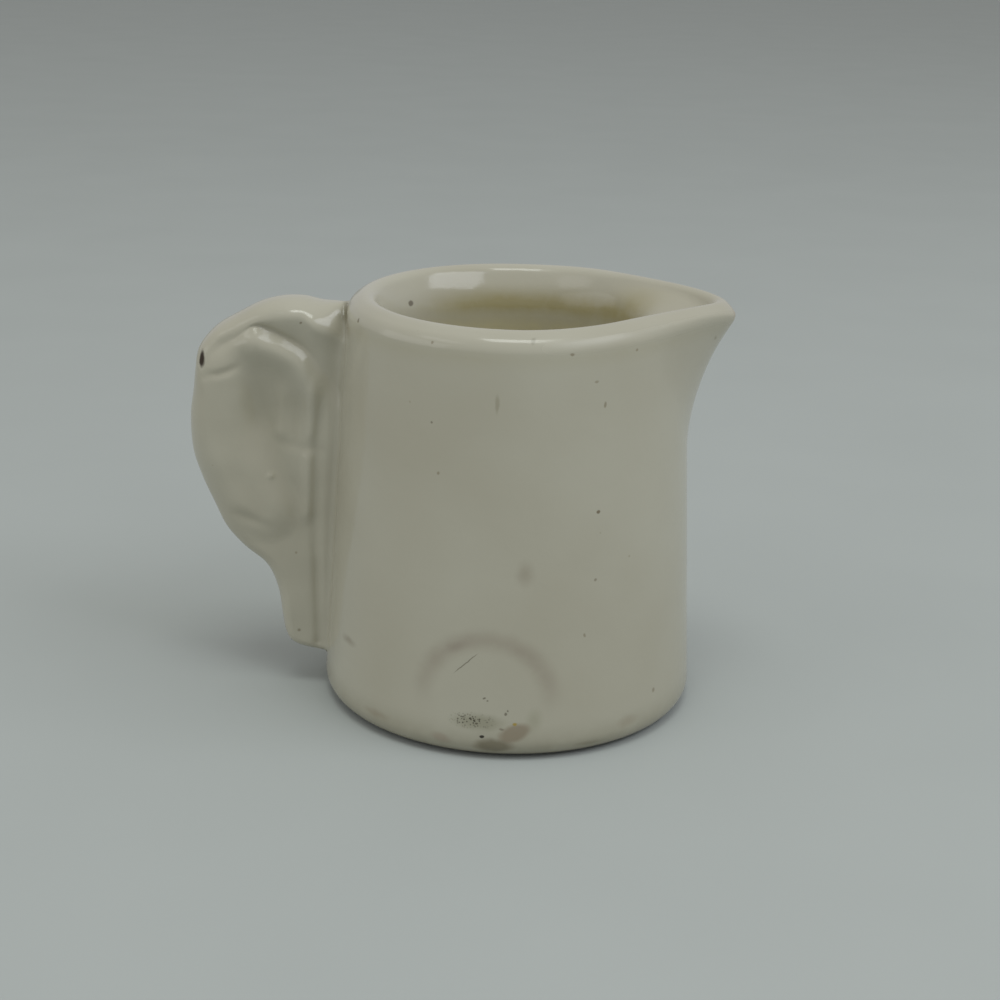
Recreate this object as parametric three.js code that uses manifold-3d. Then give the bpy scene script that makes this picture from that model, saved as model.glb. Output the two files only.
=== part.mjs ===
// Individual creamer: a thick tapered cup in glazed white china with a pouring lip and a blind scroll
// handle, built from the clay pieces that a potter presses separately and sticks together with slip.
// Millimetres, +Z up. The origin is the middle of the underside. The lip points to +X, the handle to -X.

import * as THREE from "three";
import { mergeVertices } from "three/addons/utils/BufferGeometryUtils.js";
import Module from "manifold-3d";

const wasm = await Module();
wasm.setup();

// Cup
const cupHeight = 64; // table to the crest of the rim
const footRadius = 29.4; // outer wall, carried down to the table
const rimRadius = 25.7; // outer wall, carried up to the height of the crest
const wallThickness = 7;
const footRounding = 3.4; // lower outer edge
const coveRadius = 6; // inside corner between wall and floor

// Rim: a crown that slopes out to the shoulder, and a steeper slope down to the neck inside
const rimInset = 3.25; // corner between the two slopes, in from the outer wall
const crownSlope = 31; // degrees
const neckSlope = 58; // degrees
const crestRounding = 1.3;
const shoulderRounding = 2.4;
const neckRounding = 9;

// Floor, let into the wall from below
const floorThickness = 5;
const floorMargin = 1.6; // flat ring of the wall's foot, between the inside corner and the floor
const rebateWidth = 2.4; // how far the lower part runs under the wall
const rebateHeight = 2.2; // thickness of that lower part

// Pouring lip, set in a V cut in the wall
const lipReach = 7.9; // how far the tip stands out from the wall, from the shoulder up
const lipLength = 24; // crest down to where the lip leaves the wall
const lipFlare = 1.85; // power of the lip's outward curve
const lipTipAngle = 8; // half angle over which the tip is rounded, in degrees
const notchMargin = 2; // wall that comes away with the lip on each side

// Handle, measured outwards from the wall and up from its lower end
const handleReach = 23.2; // outermost point of the outline
const handleDrop = 1.7; // highest point, below the crest of the rim
const handleFootHeight = 5.6; // lower end, above the table
const scrollRootThickness = 3;
const scrollTipThickness = 6.6;
const scrollWidth = 9.4;
const gripThickness = 10.4; // in the plane of the handle
const gripWidth = 11; // across the handle
const tailTopThickness = 8.2;
const tailThickness = 4.9;
const tailWidth = 9;
const webTailShare = 0.7; // share of the tail that the web stands behind
const curlThickness = 3.6;
const curlWidth = 10.8;
const webThickness = 7.6;
const rootStripDepth = 2;
const rootStripWidth = 9.6;

// Joints
const slipFilm = 0.3; // slip between two pieces that are stuck together
const creaseOverlap = 2; // how far the web keeps out of the creases between the handle's rolls

// Resolution
const wallSegments = 72;
const lipSegments = 120;
const arcDivisions = 4; // each arc of a profile has twice as many steps
const lipStep = 2.6; // longest step of the lip's profile
const rollSteps = 18;
const rollSides = 16;

// Modelled rolls of clay
const sectionFullness = 0.8; // 1 is an ellipse, less is squarer
const rollEndFullness = 0.86; // size of the blunt end, as a share of the full section
const rollEndShare = 0.1; // length of the rounding at each end, as a share of the roll
const rollSwelling = 0.22; // how much thicker the middle of a swelling roll is than its ends
const stripEdgeFullness = 0.4; // depth of the root strip at its edges, as a share of its middle

const china = new THREE.MeshStandardMaterial({ color: 0xc9c6b4, roughness: 0.15, metalness: 0 });
const biscuit = new THREE.MeshStandardMaterial({ color: 0xc4bba6, roughness: 0.8, metalness: 0 });

// Solids

function solidOf(geometry) {
  geometry.deleteAttribute("normal");
  geometry.deleteAttribute("uv");
  const merged = mergeVertices(geometry, 1e-4);
  return new wasm.Manifold(
    new wasm.Mesh({
      numProp: 3,
      vertProperties: merged.attributes.position.array,
      triVerts: new Uint32Array(merged.index.array),
    }),
  );
}

function meshOf(name, solid, material) {
  const { vertProperties, triVerts } = solid.getMesh();
  const geometry = new THREE.BufferGeometry();
  geometry.setAttribute("position", new THREE.BufferAttribute(vertProperties, 3));
  geometry.setIndex(new THREE.BufferAttribute(triVerts, 1));
  geometry.computeVertexNormals();
  const mesh = new THREE.Mesh(geometry, material);
  mesh.name = name;
  return mesh;
}

// A closed profile of radius and height, turned about the Z axis.
function turned(profile, segments) {
  return new THREE.LatheGeometry(profile, segments).rotateX(Math.PI / 2);
}

// A closed solid skinned over a row of rings with equal numbers of points, with a fan at each end.
function skinned(rings) {
  const sides = rings[0].length;
  const centreOf = (ring) =>
    ring.reduce((sum, point) => sum.add(point), new THREE.Vector3()).divideScalar(sides);
  const points = [...rings.flat(), centreOf(rings[0]), centreOf(rings.at(-1))];
  const startCentre = points.length - 2;
  const endCentre = points.length - 1;
  const lastRing = (rings.length - 1) * sides;
  const triangles = [];
  for (let side = 0; side < sides; side++) {
    const next = (side + 1) % sides;
    for (let row = 0; row < lastRing; row += sides) {
      triangles.push(row + side, row + next, row + sides + side);
      triangles.push(row + next, row + sides + next, row + sides + side);
    }
    triangles.push(startCentre, next, side);
    triangles.push(endCentre, lastRing + side, lastRing + next);
  }
  return new THREE.BufferGeometry().setFromPoints(points).setIndex(triangles);
}

// Cup wall

const wallSlope = (footRadius - rimRadius) / cupHeight;
const wallLean = Math.atan(wallSlope);
const acrossWall = 1 / Math.cos(wallLean); // horizontal width of a unit of wall thickness
const outerRadius = (z) => footRadius - wallSlope * z;
const innerRadius = (z) => outerRadius(z) - wallThickness * acrossWall;

// The rim's corners. The one between its slopes stands above the crest, because its rounding takes it off.
function rimCorners() {
  const crown = THREE.MathUtils.degToRad(crownSlope);
  const neck = THREE.MathUtils.degToRad(neckSlope);
  const roundedOff = crestRounding * (Math.cos((neck - crown) / 2) / Math.cos((neck + crown) / 2) - 1);
  const crestR = rimRadius - rimInset;
  const crestZ = cupHeight + roundedOff;
  const crownRun = footRadius - crestR;
  const neckRun = crestR - innerRadius(0);
  const shoulderZ = (crestZ - crownRun * Math.tan(crown)) / (1 - wallSlope * Math.tan(crown));
  const neckZ = (crestZ - neckRun * Math.tan(neck)) / (1 + wallSlope * Math.tan(neck));
  return [
    [outerRadius(shoulderZ), shoulderZ, shoulderRounding],
    [crestR, crestZ, crestRounding],
    [innerRadius(neckZ), neckZ, neckRounding],
  ];
}

// Adds a corner to a path, with an arc of the given radius between the sides that meet there.
function addCorner(path, [r, z, rounding], before, after) {
  const corner = new THREE.Vector2(r, z);
  const towards = ([otherR, otherZ]) => new THREE.Vector2(otherR, otherZ).sub(corner).normalize();
  const [backward, forward] = [towards(before), towards(after)];
  if (rounding === 0) {
    path.lineTo(r, z);
    return;
  }
  const halfAngle = Math.acos(backward.dot(forward)) / 2;
  const inward = backward.clone().add(forward).setLength(rounding / Math.sin(halfAngle));
  const centre = corner.clone().add(inward);
  const angleTo = (side) =>
    corner.clone().addScaledVector(side, rounding / Math.tan(halfAngle)).sub(centre).angle();
  path.absarc(centre.x, centre.y, rounding, angleTo(backward), angleTo(forward), backward.cross(forward) > 0);
}

const coveFootR = innerRadius(floorThickness + coveRadius) - coveRadius * acrossWall;
const floorRadius = coveFootR - floorMargin - slipFilm; // upper part of the floor, level with the inside

function wallProfile() {
  const floorHole = floorRadius + slipFilm;
  const rebateTop = rebateHeight + slipFilm;
  const corners = [
    [floorHole + rebateWidth, 0, 0],
    [footRadius, 0, footRounding],
    ...rimCorners(),
    [innerRadius(floorThickness), floorThickness, coveRadius],
    [floorHole, floorThickness, 0],
    [floorHole, rebateTop, 0],
    [floorHole + rebateWidth, rebateTop, 0],
  ];
  const path = new THREE.Path().moveTo(...corners[0].slice(0, 2));
  for (let i = 1; i < corners.length; i++) {
    addCorner(path, corners[i], corners[i - 1], corners[(i + 1) % corners.length]);
  }
  return path.closePath().getPoints(arcDivisions);
}

// The profile again, with no step longer than the given one.
function refined(profile, longest) {
  const points = [profile[0]];
  for (const end of profile.slice(1)) {
    const start = points.at(-1);
    const parts = Math.ceil(start.distanceTo(end) / longest);
    for (let part = 1; part <= parts; part++) points.push(start.clone().lerp(end, part / parts));
  }
  return points;
}

// Pouring lip

const lipRootZ = cupHeight - lipLength;
const lipTopZ = rimCorners()[0][1];
const lipPull = (z) =>
  lipReach * THREE.MathUtils.clamp((z - lipRootZ) / (lipTopZ - lipRootZ), 0, 1) ** lipFlare;

// Half angle at which a round wall of this radius runs straight on into the lip at this height.
const lipHalfAngle = (radius, z) => Math.acos(radius / (radius + lipPull(z)));

// Draws a turned wall out to a V in plan: two tangents of the round that meet in a rounded tip.
function pulledToLip(geometry) {
  const tipAngle = THREE.MathUtils.degToRad(lipTipAngle);
  const place = geometry.attributes.position;
  for (let i = 0; i < place.count; i++) {
    const [x, y, z] = [place.getX(i), place.getY(i), place.getZ(i)];
    const radius = Math.hypot(x, y);
    const half = lipHalfAngle(radius, z);
    if (half === 0) continue;
    const angle = Math.hypot(Math.atan2(y, x), tipAngle);
    const stretch = 1 / Math.cos(Math.max(0, half + tipAngle - angle));
    place.setXY(i, x * stretch, y * stretch);
  }
  return geometry;
}

// The V that is cut from the wall, as a prism along X. A clearance widens it all round.
function lipNotch(clearance) {
  const crestRadius = outerRadius(cupHeight);
  const halfWidth = crestRadius * Math.sin(lipHalfAngle(crestRadius, cupHeight)) + notchMargin;
  const slant = Math.atan2(halfWidth, lipLength + notchMargin);
  const bottom = lipRootZ - notchMargin - clearance / Math.sin(slant);
  const top = cupHeight + wallThickness;
  const topHalf = (top - bottom) * Math.tan(slant);
  const vee = new THREE.Shape([
    new THREE.Vector2(0, bottom),
    new THREE.Vector2(topHalf, top),
    new THREE.Vector2(-topHalf, top),
  ]);
  const prism = new THREE.ExtrudeGeometry(vee, {
    depth: crestRadius + 2 * lipReach,
    bevelEnabled: false,
  });
  const axes = [new THREE.Vector3(0, 1, 0), new THREE.Vector3(0, 0, 1), new THREE.Vector3(1, 0, 0)];
  return solidOf(prism.applyMatrix4(new THREE.Matrix4().makeBasis(...axes)));
}

function bodyWall() {
  return solidOf(turned(wallProfile(), wallSegments)).subtract(lipNotch(slipFilm));
}

function pouringLip() {
  const wall = turned(refined(wallProfile(), lipStep), lipSegments);
  return solidOf(pulledToLip(wall)).intersect(lipNotch(0));
}

function baseBat() {
  const profile = [
    [0, 0],
    [floorRadius + rebateWidth, 0],
    [floorRadius + rebateWidth, rebateHeight],
    [floorRadius, rebateHeight],
    [floorRadius, floorThickness],
    [0, floorThickness],
  ];
  return solidOf(turned(profile.map(([r, z]) => new THREE.Vector2(r, z)), wallSegments));
}

// Handle

const handleHeight = cupHeight - handleDrop - handleFootHeight;

// A point of the handle's plane, from its share of the reach and of the handle's height.
function handlePoint([outShare, riseShare]) {
  const z = handleFootHeight + riseShare * handleHeight;
  return new THREE.Vector3(-outerRadius(z) - outShare * handleReach, 0, z);
}

const centreLine = (...shares) =>
  new THREE.CatmullRomCurve3(shares.map(handlePoint), false, "centripetal");

const scrollLine = centreLine(
  [-0.04, 0.97],
  [0.18, 0.972],
  [0.37, 0.97],
  [0.53, 0.948],
  [0.66, 0.91],
  [0.78, 0.86],
  [0.84, 0.806],
);
const gripLine = centreLine(
  [0.81, 0.791],
  [0.79, 0.714],
  [0.775, 0.625],
  [0.73, 0.525],
  [0.65, 0.437],
  [0.565, 0.359],
);
const tailLine = centreLine([0.55, 0.355], [0.43, 0.288], [0.29, 0.216], [0.225, 0.125], [0.19, 0.013]);
const curlLine = centreLine([0.75, 0.843], [0.62, 0.868], [0.49, 0.877], [0.34, 0.86], [0.14, 0.8]);

const squared = (value) => Math.sign(value) * Math.abs(value) ** sectionFullness;

// How full a roll is at a share of its length: drawn in to a blunt end at both ends.
function endFullness(share) {
  const toEnd = Math.min(1, share / rollEndShare, (1 - share) / rollEndShare);
  return THREE.MathUtils.lerp(rollEndFullness, 1, Math.sqrt(1 - (1 - toEnd) ** 2));
}

// A roll of clay along a line of the handle's plane. Growth makes it larger all round, end growth longer.
function roll(line, thicknessAt, width, growth, endGrowth) {
  const across = new THREE.Vector3(0, 1, 0);
  const rings = [];
  for (let step = 0; step <= rollSteps; step++) {
    const share = step / rollSteps;
    const along = line.getTangent(share);
    const inward = new THREE.Vector3().crossVectors(across, along);
    const centre = line.getPoint(share);
    if (step === 0) centre.addScaledVector(along, -endGrowth);
    if (step === rollSteps) centre.addScaledVector(along, endGrowth);
    const halfDeep = (thicknessAt(share) / 2) * endFullness(share) + growth;
    const halfWide = (width / 2) * endFullness(share) + growth;
    const ring = [];
    for (let side = 0; side < rollSides; side++) {
      const turn = (2 * Math.PI * side) / rollSides;
      const point = centre.clone();
      point.addScaledVector(inward, halfDeep * squared(Math.cos(turn)));
      point.addScaledVector(across, halfWide * squared(Math.sin(turn)));
      ring.push(point);
    }
    rings.push(ring);
  }
  return solidOf(skinned(rings));
}

const between = (start, end) => (share) => THREE.MathUtils.lerp(start, end, share);
const swelling = (middle) => (share) => middle * (1 - rollSwelling * (1 - Math.sin(Math.PI * share)));
const narrowing = (start, end) => (share) => THREE.MathUtils.lerp(start, end, Math.sqrt(share));

const thumbScroll = (growth, endGrowth) =>
  roll(scrollLine, between(scrollRootThickness, scrollTipThickness), scrollWidth, growth, endGrowth);
const gripBulb = (growth, endGrowth) =>
  roll(gripLine, swelling(gripThickness), gripWidth, growth, endGrowth);
const tail = (growth, endGrowth) =>
  roll(tailLine, narrowing(tailTopThickness, tailThickness), tailWidth, growth, endGrowth);
const curl = () => roll(curlLine, swelling(curlThickness), curlWidth, 0, 0);

// A half-round strip down the wall, under the scroll, that the rest of the handle stands on.
function rootStrip(growth) {
  const topZ = cupHeight - handleDrop - scrollRootThickness;
  const halfSides = rollSides / 2;
  const rings = [];
  for (let step = 0; step <= rollSteps; step++) {
    const share = step / rollSteps;
    const z = THREE.MathUtils.lerp(handleFootHeight - growth, topZ + growth, share);
    const wall = outerRadius(z);
    const halfAngle = (rootStripWidth / 2 + growth) / wall;
    const depth = slipFilm + rootStripDepth * endFullness(share) + growth;
    const ringPoint = (sideShare, lift) => {
      const angle = Math.PI + halfAngle * sideShare;
      const radius = wall + lift;
      return new THREE.Vector3(radius * Math.cos(angle), radius * Math.sin(angle), z);
    };
    const ring = [];
    for (let side = 0; side <= halfSides; side++) {
      const sideShare = -Math.cos((Math.PI * side) / halfSides);
      const fullness = Math.sqrt(1 - (1 - stripEdgeFullness ** 2) * sideShare ** 2);
      ring.push(ringPoint(sideShare, depth * fullness));
    }
    for (let side = halfSides; side >= 0; side--) {
      ring.push(ringPoint(-Math.cos((Math.PI * side) / halfSides), -rootStripDepth));
    }
    rings.push(ring);
  }
  return solidOf(skinned(rings));
}

// A slab that fills the scroll, grip and upper tail back to the wall.
function webSlab(thickness) {
  const tailSteps = Math.round(webTailShare * rollSteps);
  const edge = [
    ...scrollLine.getPoints(rollSteps),
    ...gripLine.getPoints(rollSteps),
    ...tailLine.getPoints(rollSteps).slice(0, tailSteps),
  ];
  const wall = [edge.at(-1).z, edge[0].z].map((z) => new THREE.Vector3(-outerRadius(z), 0, z));
  const shape = new THREE.Shape([...edge, ...wall].map(({ x, z }) => new THREE.Vector2(x, z)));
  const slab = new THREE.ExtrudeGeometry(shape, { depth: thickness, bevelEnabled: false });
  return solidOf(slab.rotateX(Math.PI / 2).translate(0, thickness / 2, 0));
}

// The wall's outside with a film of slip on it, as a solid that the handle's pieces are cut back from.
function wallEnvelope() {
  const bottomZ = -footRounding;
  const topZ = cupHeight + wallThickness;
  const profile = [
    new THREE.Vector2(0, bottomZ),
    new THREE.Vector2(outerRadius(bottomZ) + slipFilm, bottomZ),
    new THREE.Vector2(outerRadius(topZ) + slipFilm, topZ),
    new THREE.Vector2(0, topZ),
  ];
  return solidOf(turned(profile, wallSegments));
}

// Half of space on one side of the handle's plane, clear of the web and its slip.
function besideWeb(side) {
  const size = 4 * cupHeight;
  const offset = side * (size / 2 + webThickness / 2 + slipFilm);
  return solidOf(new THREE.BoxGeometry(size, size, size).translate(0, offset, 0));
}

// Each piece is cut back from those that were stuck on before it.
function handlePieces() {
  const taken = [wallEnvelope()];
  const seated = (solid) => taken.reduce((rest, other) => rest.subtract(other), solid);
  const pieces = {};
  const stick = (name, make) => {
    pieces[name] = seated(make(0, 0));
    taken.push(make(slipFilm, slipFilm));
  };
  stick("handle_thumb_scroll", thumbScroll);
  stick("handle_root_strip", rootStrip);
  stick("handle_tail", tail);
  stick("handle_grip_bulb", gripBulb);
  const roundedCurl = seated(curl());
  pieces.handle_curl_front = roundedCurl.intersect(besideWeb(-1));
  pieces.handle_curl_back = roundedCurl.intersect(besideWeb(1));
  for (const make of [thumbScroll, tail, gripBulb]) taken.push(make(slipFilm, creaseOverlap));
  pieces.handle_web = seated(webSlab(webThickness));
  return pieces;
}

// Assembly

const creamer = new THREE.Group();
creamer.add(meshOf("body_wall", bodyWall(), china));
creamer.add(meshOf("pouring_lip", pouringLip(), china));
creamer.add(meshOf("base_bat", baseBat(), biscuit));
for (const [name, solid] of Object.entries(handlePieces())) creamer.add(meshOf(name, solid, china));

export default creamer;
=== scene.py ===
import math

import bmesh
import bpy
import numpy as np
from mathutils import Matrix, Vector, noise


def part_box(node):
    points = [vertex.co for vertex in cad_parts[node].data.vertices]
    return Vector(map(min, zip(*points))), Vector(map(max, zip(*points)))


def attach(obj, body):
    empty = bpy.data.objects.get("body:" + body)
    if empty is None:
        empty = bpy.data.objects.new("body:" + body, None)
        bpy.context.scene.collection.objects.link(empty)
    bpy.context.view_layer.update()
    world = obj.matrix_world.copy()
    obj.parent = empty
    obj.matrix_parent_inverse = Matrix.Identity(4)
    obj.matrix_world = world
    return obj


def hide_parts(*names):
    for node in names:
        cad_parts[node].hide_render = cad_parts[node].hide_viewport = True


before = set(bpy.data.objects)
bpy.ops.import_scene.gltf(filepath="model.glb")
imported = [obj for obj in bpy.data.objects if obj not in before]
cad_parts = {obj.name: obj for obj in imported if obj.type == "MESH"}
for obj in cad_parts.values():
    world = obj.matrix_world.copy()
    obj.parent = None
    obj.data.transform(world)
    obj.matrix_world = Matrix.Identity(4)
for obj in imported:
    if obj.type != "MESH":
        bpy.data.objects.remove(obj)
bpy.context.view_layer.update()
mm = 0.001
weld = 0.002  # mm, points closer than this become one
tiny = 0.01  # mm, keeps a divisor or an angle away from zero


# small tools

def linearColour(hexText):
    parts = [int(hexText[i:i + 2], 16) / 255 for i in (1, 3, 5)]
    return [c / 12.92 if c <= 0.04045 else ((c + 0.055) / 1.055) ** 2.4 for c in parts] + [1.0]


def addNode(tree, kind, inputs=None, **settings):
    node = tree.nodes.new(kind)
    for name, value in settings.items():
        setattr(node, name, value)
    for name, value in (inputs or {}).items():
        if isinstance(value, bpy.types.NodeSocket):
            tree.links.new(value, node.inputs[name])
        else:
            node.inputs[name].default_value = value
    return node


def newMaterial(name):
    material = bpy.data.materials.new(name)
    material.use_nodes = True
    material.node_tree.nodes.clear()
    return material, material.node_tree


def ease(value, start, end):
    share = np.clip((value - start) / (end - start), 0, 1)
    return share * share * (3 - 2 * share)


def bell(distance, width):
    return np.exp(-(distance / width) ** 2)


def softMinimum(first, second, blend):  # the lower of two faces, with the corner between them rounded off
    share = np.clip(0.5 + 0.5 * (first - second) / blend, 0, 1)
    return first + (second - first) * share - blend * share * (1 - share)


def smoothLine(points, perSpan=8):  # smooth curve that passes through rows of numbers
    rows = np.array(points, float)
    rows = np.vstack([2 * rows[0] - rows[1], rows, 2 * rows[-1] - rows[-2]])
    share = np.linspace(0, 1, perSpan, endpoint=False)[:, None]
    spans = []
    for before, start, end, after in zip(rows, rows[1:], rows[2:], rows[3:]):
        bend = 2 * before - 5 * start + 4 * end - after
        twist = 3 * start - before - 3 * end + after
        spans.append(start + 0.5 * ((end - before) * share + bend * share ** 2 + twist * share ** 3))
    return np.vstack(spans + [rows[-2:-1]])


def nearestOn(line, points):  # distance to a line of x and z, and its other columns at the nearest place
    start, step = line[:-1], line[1:] - line[:-1]
    offset = points[:, None, :] - start[None, :, :2]
    share = (offset * step[:, :2]).sum(2) / (step[:, :2] ** 2).sum(1)
    share = np.clip(share, 0, 1)
    gap = np.linalg.norm(offset - share[..., None] * step[:, :2], axis=2)
    best = gap.argmin(1)
    rows = np.arange(len(points))
    there = start[best] + share[rows, best][:, None] * step[best]
    return gap[rows, best], there[:, 2:]


def sideOf(line, points):  # signed distance, positive above a line that runs towards the wall
    gap, _ = nearestOn(line, points)
    return np.where(points[:, 1] > np.interp(points[:, 0], line[:, 0], line[:, 1]), gap, -gap)


def finishPiece(name, bm, material, nodes):
    bmesh.ops.remove_doubles(bm, verts=bm.verts, dist=weld)
    bmesh.ops.recalc_face_normals(bm, faces=bm.faces)
    bmesh.ops.scale(bm, verts=bm.verts, vec=(mm, mm, mm))
    mesh = bpy.data.meshes.new(name)
    bm.to_mesh(mesh)
    bm.free()
    mesh.polygons.foreach_set("use_smooth", [True] * len(mesh.polygons))
    mesh.materials.append(material)
    piece = bpy.data.objects.new(name, mesh)
    bpy.context.scene.collection.objects.link(piece)
    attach(piece, "root")
    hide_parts(*nodes)
    print(name, len(mesh.polygons), "faces")


# camera, matched to the photograph's view

view = {
    "distance": 268.6,  # in front of the cup's axis
    "height": 123.5,
    "lens": 64.85,
    "sensor": 36,
    "nearest": 10.0,  # nothing closer than this is drawn
    "down": 19.03,  # degrees
    "turn": 0.385,
    "roll": 1.52,
}


def addCamera():
    data = bpy.data.cameras.new("camera")
    data.sensor_width = view["sensor"]
    data.lens = view["lens"]
    data.clip_start = view["nearest"] * mm
    camera = bpy.data.objects.new("camera", data)
    place = Matrix.Translation((0, -view["distance"] * mm, view["height"] * mm))
    turn = Matrix.Rotation(math.radians(view["turn"]), 4, "Z")
    tip = Matrix.Rotation(math.radians(90 - view["down"]), 4, "X")
    roll = Matrix.Rotation(math.radians(view["roll"]), 4, "Z")
    camera.matrix_world = place @ turn @ tip @ roll
    bpy.context.scene.collection.objects.link(camera)
    bpy.context.scene.camera = camera
    print("camera placed")


# floor and light, in metres

studio = {
    "floorSize": 8.0,  # past the edges of the view
    "floorColour": "#b0b5b2",
    "floorPaintedShade": ((-0.1, 1.04), (0.6, 0.93)),  # painted shade: lighter in front, a little darker far behind
    "floorCloud": 0.04,
    "cloudTone": (0.97, 1.03),
    "floorRoughness": 0.9,
    "floorSheen": 0.2,
    "world": 0.48,
    "worldColour": "#ffffff",
    "lamps": {
        "overhead": {"place": (0.0, -0.4, 1.5), "size": (0.7, 0.5), "power": 4.6, "colour": "#f9fffb"},
        "frontRight": {"place": (0.76, -0.34, 0.82), "size": (0.85, 0.5), "power": 3.6, "colour": "#f2f7ff"},
        "frontLeft": {"place": (-0.72, -0.42, 0.75), "size": (0.5, 0.2), "power": 0.25, "colour": "#ffffff"},
        "leftFill": {"place": (-1.3, -0.42, 0.35), "size": (1.4, 0.7), "power": 2.0, "colour": "#ffffff"},
    },
}


def paperSurface():
    # matt seamless paper: no gloss, a faint cloudiness from its fibres, and painted shade that darkens it
    # further back
    material, tree = newMaterial("seamless_paper")
    coords = addNode(tree, "ShaderNodeTexCoord").outputs["Object"]
    cloud = addNode(tree, "ShaderNodeTexNoise", {"Vector": coords, "Scale": 1 / studio["floorCloud"]})
    low, high = studio["cloudTone"]
    tone = addNode(tree, "ShaderNodeMapRange", {
        "Value": cloud.outputs["Fac"], "To Min": low, "To Max": high,
    })
    # painted shade: the paper drawn darker further back
    (front, frontTone), (back, backTone) = studio["floorPaintedShade"]
    place = addNode(tree, "ShaderNodeSeparateXYZ", {0: coords})
    depth = addNode(tree, "ShaderNodeMapRange", {
        "Value": place.outputs["Y"], "From Min": front, "From Max": back,
        "To Min": frontTone, "To Max": backTone,
    })
    tone = addNode(tree, "ShaderNodeMath", {0: tone.outputs[0], 1: depth.outputs[0]}, operation="MULTIPLY")
    shade = addNode(tree, "ShaderNodeMix", {
        0: 1.0, 6: linearColour(studio["floorColour"]), 7: tone.outputs[0],
    }, data_type="RGBA", blend_type="MULTIPLY")
    surface = addNode(tree, "ShaderNodeBsdfPrincipled", {
        "Base Color": shade.outputs[2], "Roughness": studio["floorRoughness"],
        "Specular IOR Level": studio["floorSheen"],
    })
    addNode(tree, "ShaderNodeOutputMaterial", {"Surface": surface.outputs[0]})
    return material


def addFloor():
    bm = bmesh.new()
    bmesh.ops.create_grid(bm, x_segments=1, y_segments=1, size=studio["floorSize"] / 2)
    mesh = bpy.data.meshes.new("floor")
    bm.to_mesh(mesh)
    bm.free()
    mesh.materials.append(paperSurface())
    floor = bpy.data.objects.new("floor", mesh)
    bpy.context.scene.collection.objects.link(floor)
    print("floor laid")


def addLights():
    for name, values in studio["lamps"].items():
        data = bpy.data.lights.new(name, "AREA")
        data.shape = "RECTANGLE"
        data.size, data.size_y = values["size"]
        data.energy = values["power"]
        data.color = linearColour(values["colour"])[:3]
        lamp = bpy.data.objects.new(name, data)
        place = Vector(values["place"])
        facing = (-place).to_track_quat("-Z", "Y")
        lamp.matrix_world = Matrix.Translation(place) @ facing.to_matrix().to_4x4()
        bpy.context.scene.collection.objects.link(lamp)
    world = bpy.data.worlds.new("studio")
    world.use_nodes = True
    tree = world.node_tree
    tree.nodes.clear()
    glow = addNode(tree, "ShaderNodeBackground", {
        "Color": linearColour(studio["worldColour"]), "Strength": studio["world"],
    })
    addNode(tree, "ShaderNodeOutputWorld", {"Surface": glow.outputs[0]})
    bpy.context.scene.world = world
    print("lights set")


# cup with its lip, turned in one, in mm

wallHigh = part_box("body_wall")[1]
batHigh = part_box("base_bat")[1]
cup = {
    "height": wallHigh.z / mm,
    "footRadius": wallHigh.y / mm + 0.2,  # the wall carried down to the table, past its round edge
    "taper": 3.7,  # how much narrower the wall is at the crest
    "wall": 7.0,
    "floor": batHigh.z / mm,
    "cove": 6.0,
    "crest": 22.3,  # radius of the corner between the rim's crown and its inner slope, before rounding
    "crestRise": 0.74,  # the rounding takes this off the corner
    "crestRounding": 2.1,
    "neckDepth": 5.4,  # from the crest down to where the inside stands upright
    "neckRounding": 3.0,
    "shoulderDrop": 1.6,  # the rim slopes out and down to a tight shoulder
    "shoulderRounding": 1.3,
    "footRounding": 2.7,
    "footLift": 0.42,  # the outer edge of the foot stands clear of the table
    "footRing": 24.0,
    "batRadius": batHigh.y / mm + 0.3,
    "batRecess": 0.9,
    "steps": 220,
    "crowding": 0.45,  # the steps stand closer at the lip
    "rowLength": 0.9,
    "roundingSteps": 8,
}
lip = {
    "reach": 9.0,
    "length": 24.0,
    "flare": 1.85,
    "top": 62.4,  # the pull grows up to here
    "tip": 8.0,  # half angle of the rounded tip
    "turn": 1.2,  # the tip points a little to the back
    "flankRise": 0.45,  # the rim climbs a little along the sides of the lip
    "flankLow": 48.0,
    "flankRun": (0, 20),
    "shoulderRise": 0.35,
    "shoulderLow": 54.0,
    "nose": 0.6,  # and its shoulder hangs lower at the tip
    "channel": 0.75,  # the inside follows the pull less, so the channel lies flatter
    "channelTop": 0.3,  # below the crest
}
stainsAndPaintedLight = {  # stains, painted shade and painted light: shares, heights and widths, with angles in radians from the back towards the lip
    "shadeBand": {  # painted shade: a darker olive band round the inside, under the rim
        "height": 58.2,
        "above": 1.9,
        "below": 1.7,
        "wider": 1.3,
        "widens": (0.7, 1.1),
        "starts": (-1.1, -0.25),
        "ends": (1.15, 1.4),
    },
    # painted light: the inside drawn paler below the band
    "film": {"share": 0.9, "fade": (54, 57.5)},
    # painted shade under the rim's shoulder, outside
    "underRim": {"share": 0.12, "height": 60.2, "width": 1.1},
    # painted shade: the wall drawn darker towards the table
    "grimeAndShade": {"share": 0.6, "fade": (1.5, 6.5)},
    # dirt and painted contact shadow along the foot's bottom edge
    "soilAndShadow": {"share": 0.8, "fade": (0.5, 1.3)},
    "wear": {"height": 61.9, "width": 1.2, "starts": (1, 6)},  # on the rim's shoulder, towards the lip
}


def outerRadius(z):
    return cup["footRadius"] - cup["taper"] * z / cup["height"]


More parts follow.
